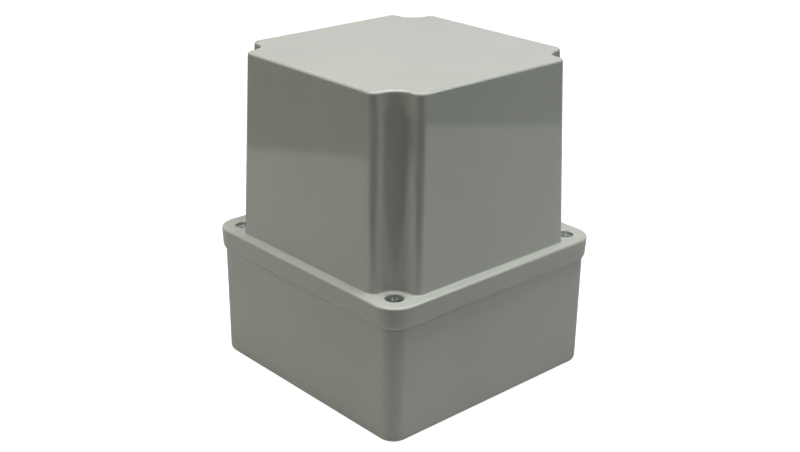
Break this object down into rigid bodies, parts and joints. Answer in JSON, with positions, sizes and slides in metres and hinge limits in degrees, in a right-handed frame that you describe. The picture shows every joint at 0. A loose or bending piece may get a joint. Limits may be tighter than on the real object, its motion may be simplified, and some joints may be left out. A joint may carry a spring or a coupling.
{
  "type": "electrical junction box",
  "caption": "Square surface-mounted junction box with a deep screw-on lid whose corners step in round captive screws, and rail terminals inside.",
  "frame": {"origin": "centre of the wall face, at the base's underside", "axes": "+Z from the wall face to the lid, +X to the right and -Y to the front, square with the box's sides"},
  "size_m": [0.108, 0.108, 0.128],
  "materials": {
    "grey_plastic": "semi-matt moulded light grey thermoplastic",
    "black_rubber": "matt foam rubber",
    "steel": "bright stainless steel",
    "zinc": "zinc-plated steel",
    "brass": "satin brass",
    "white_nylon": "natural white nylon",
    "terminal_grey": "matt grey polyamide",
    "terminal_blue": "matt blue polyamide",
    "earth_green": "matt green polyamide"
  },
  "bodies": {
    "base": {"base_shell": "grey_plastic", "wall_plug_front_left": "grey_plastic", "wall_plug_front_right": "grey_plastic", "wall_plug_back_left": "grey_plastic", "wall_plug_back_right": "grey_plastic", "din_rail": "zinc", "rail_screw_left": "zinc", "rail_screw_right": "zinc", "terminal_1_housing": "terminal_grey", "terminal_2_housing": "terminal_grey", "terminal_3_housing": "terminal_blue", "terminal_4_housing": "earth_green", "terminal_1_bar": "brass", "terminal_2_bar": "brass", "terminal_3_bar": "brass", "terminal_4_bar": "brass", "marker_tag_1": "white_nylon", "marker_tag_2": "white_nylon", "marker_tag_3": "white_nylon", "marker_tag_4": "white_nylon", "earth_foot": "zinc", "earth_foot_screw": "zinc", "terminal_end_plate": "terminal_grey", "end_stop_left": "terminal_grey", "end_stop_right": "terminal_grey"},
    "lid": {"lid_shell": "grey_plastic", "lid_gasket": "black_rubber"},
    "retainer_front_left": {"screw_retainer_front_left": "white_nylon"},
    "lid_screw_front_left": {"lid_screw_front_left": "steel"},
    "retainer_front_right": {"screw_retainer_front_right": "white_nylon"},
    "lid_screw_front_right": {"lid_screw_front_right": "steel"},
    "retainer_back_left": {"screw_retainer_back_left": "white_nylon"},
    "lid_screw_back_left": {"lid_screw_back_left": "steel"},
    "retainer_back_right": {"screw_retainer_back_right": "white_nylon"},
    "lid_screw_back_right": {"lid_screw_back_right": "steel"},
    "clamp_screw_1_front": {"clamp_screw_1_front": "zinc"},
    "clamp_cage_1_front": {"clamp_cage_1_front": "zinc"},
    "clamp_screw_1_back": {"clamp_screw_1_back": "zinc"},
    "clamp_cage_1_back": {"clamp_cage_1_back": "zinc"},
    "clamp_screw_2_front": {"clamp_screw_2_front": "zinc"},
    "clamp_cage_2_front": {"clamp_cage_2_front": "zinc"},
    "clamp_screw_2_back": {"clamp_screw_2_back": "zinc"},
    "clamp_cage_2_back": {"clamp_cage_2_back": "zinc"},
    "clamp_screw_3_front": {"clamp_screw_3_front": "zinc"},
    "clamp_cage_3_front": {"clamp_cage_3_front": "zinc"},
    "clamp_screw_3_back": {"clamp_screw_3_back": "zinc"},
    "clamp_cage_3_back": {"clamp_cage_3_back": "zinc"},
    "clamp_screw_4_front": {"clamp_screw_4_front": "zinc"},
    "clamp_cage_4_front": {"clamp_cage_4_front": "zinc"},
    "clamp_screw_4_back": {"clamp_screw_4_back": "zinc"},
    "clamp_cage_4_back": {"clamp_cage_4_back": "zinc"}
  },
  "joints": [
    {"name": "lid_lift", "type": "slide", "parent": "base", "child": "lid", "axis": [0, 0, 1], "range_m": [0, 0.1]},
    {"name": "screw_rise_front_left", "type": "slide", "parent": "lid", "child": "retainer_front_left", "axis": [0, 0, 1], "range_m": [0, 0.009]},
    {"name": "screw_turn_front_left", "type": "hinge", "parent": "retainer_front_left", "child": "lid_screw_front_left", "pos_m": [-0.045, -0.045, 0.0544], "axis": [0, 0, 1], "range_deg": [0, 2161]},
    {"name": "screw_rise_front_right", "type": "slide", "parent": "lid", "child": "retainer_front_right", "axis": [0, 0, 1], "range_m": [0, 0.009]},
    {"name": "screw_turn_front_right", "type": "hinge", "parent": "retainer_front_right", "child": "lid_screw_front_right", "pos_m": [0.045, -0.045, 0.0544], "axis": [0, 0, 1], "range_deg": [0, 2161]},
    {"name": "screw_rise_back_left", "type": "slide", "parent": "lid", "child": "retainer_back_left", "axis": [0, 0, 1], "range_m": [0, 0.009]},
    {"name": "screw_turn_back_left", "type": "hinge", "parent": "retainer_back_left", "child": "lid_screw_back_left", "pos_m": [-0.045, 0.045, 0.0544], "axis": [0, 0, 1], "range_deg": [0, 2161]},
    {"name": "screw_rise_back_right", "type": "slide", "parent": "lid", "child": "retainer_back_right", "axis": [0, 0, 1], "range_m": [0, 0.009]},
    {"name": "screw_turn_back_right", "type": "hinge", "parent": "retainer_back_right", "child": "lid_screw_back_right", "pos_m": [0.045, 0.045, 0.0544], "axis": [0, 0, 1], "range_deg": [0, 2161]},
    {"name": "clamp_turn_1_front", "type": "hinge", "parent": "base", "child": "clamp_screw_1_front", "pos_m": [-0.01175, -0.0145, 0.039], "axis": [0, 0, 1], "range_deg": [-1801, 0]},
    {"name": "clamp_rise_1_front", "type": "slide", "parent": "base", "child": "clamp_cage_1_front", "axis": [0, 0, 1], "range_m": [0, 0.0035]},
    {"name": "clamp_turn_1_back", "type": "hinge", "parent": "base", "child": "clamp_screw_1_back", "pos_m": [-0.01175, 0.0145, 0.039], "axis": [0, 0, 1], "range_deg": [-1801, 0]},
    {"name": "clamp_rise_1_back", "type": "slide", "parent": "base", "child": "clamp_cage_1_back", "axis": [0, 0, 1], "range_m": [0, 0.0035]},
    {"name": "clamp_turn_2_front", "type": "hinge", "parent": "base", "child": "clamp_screw_2_front", "pos_m": [-0.00355, -0.0145, 0.039], "axis": [0, 0, 1], "range_deg": [-1801, 0]},
    {"name": "clamp_rise_2_front", "type": "slide", "parent": "base", "child": "clamp_cage_2_front", "axis": [0, 0, 1], "range_m": [0, 0.0035]},
    {"name": "clamp_turn_2_back", "type": "hinge", "parent": "base", "child": "clamp_screw_2_back", "pos_m": [-0.00355, 0.0145, 0.039], "axis": [0, 0, 1], "range_deg": [-1801, 0]},
    {"name": "clamp_rise_2_back", "type": "slide", "parent": "base", "child": "clamp_cage_2_back", "axis": [0, 0, 1], "range_m": [0, 0.0035]},
    {"name": "clamp_turn_3_front", "type": "hinge", "parent": "base", "child": "clamp_screw_3_front", "pos_m": [0.00465, -0.0145, 0.039], "axis": [0, 0, 1], "range_deg": [-1801, 0]},
    {"name": "clamp_rise_3_front", "type": "slide", "parent": "base", "child": "clamp_cage_3_front", "axis": [0, 0, 1], "range_m": [0, 0.0035]},
    {"name": "clamp_turn_3_back", "type": "hinge", "parent": "base", "child": "clamp_screw_3_back", "pos_m": [0.00465, 0.0145, 0.039], "axis": [0, 0, 1], "range_deg": [-1801, 0]},
    {"name": "clamp_rise_3_back", "type": "slide", "parent": "base", "child": "clamp_cage_3_back", "axis": [0, 0, 1], "range_m": [0, 0.0035]},
    {"name": "clamp_turn_4_front", "type": "hinge", "parent": "base", "child": "clamp_screw_4_front", "pos_m": [0.01285, -0.0145, 0.039], "axis": [0, 0, 1], "range_deg": [-1801, 0]},
    {"name": "clamp_rise_4_front", "type": "slide", "parent": "base", "child": "clamp_cage_4_front", "axis": [0, 0, 1], "range_m": [0, 0.0035]},
    {"name": "clamp_turn_4_back", "type": "hinge", "parent": "base", "child": "clamp_screw_4_back", "pos_m": [0.01285, 0.0145, 0.039], "axis": [0, 0, 1], "range_deg": [-1801, 0]},
    {"name": "clamp_rise_4_back", "type": "slide", "parent": "base", "child": "clamp_cage_4_back", "axis": [0, 0, 1], "range_m": [0, 0.0035]}
  ],
  "couplings": [
    {"joint": "screw_turn_front_left", "follows": "screw_rise_front_left", "rad_per_m": 4188.8},
    {"joint": "screw_turn_front_right", "follows": "screw_rise_front_right", "rad_per_m": 4188.8},
    {"joint": "screw_turn_back_left", "follows": "screw_rise_back_left", "rad_per_m": 4188.8},
    {"joint": "screw_turn_back_right", "follows": "screw_rise_back_right", "rad_per_m": 4188.8},
    {"joint": "clamp_turn_1_front", "follows": "clamp_rise_1_front", "rad_per_m": -8976},
    {"joint": "clamp_turn_1_back", "follows": "clamp_rise_1_back", "rad_per_m": -8976},
    {"joint": "clamp_turn_2_front", "follows": "clamp_rise_2_front", "rad_per_m": -8976},
    {"joint": "clamp_turn_2_back", "follows": "clamp_rise_2_back", "rad_per_m": -8976},
    {"joint": "clamp_turn_3_front", "follows": "clamp_rise_3_front", "rad_per_m": -8976},
    {"joint": "clamp_turn_3_back", "follows": "clamp_rise_3_back", "rad_per_m": -8976},
    {"joint": "clamp_turn_4_front", "follows": "clamp_rise_4_front", "rad_per_m": -8976},
    {"joint": "clamp_turn_4_back", "follows": "clamp_rise_4_back", "rad_per_m": -8976}
  ]
}
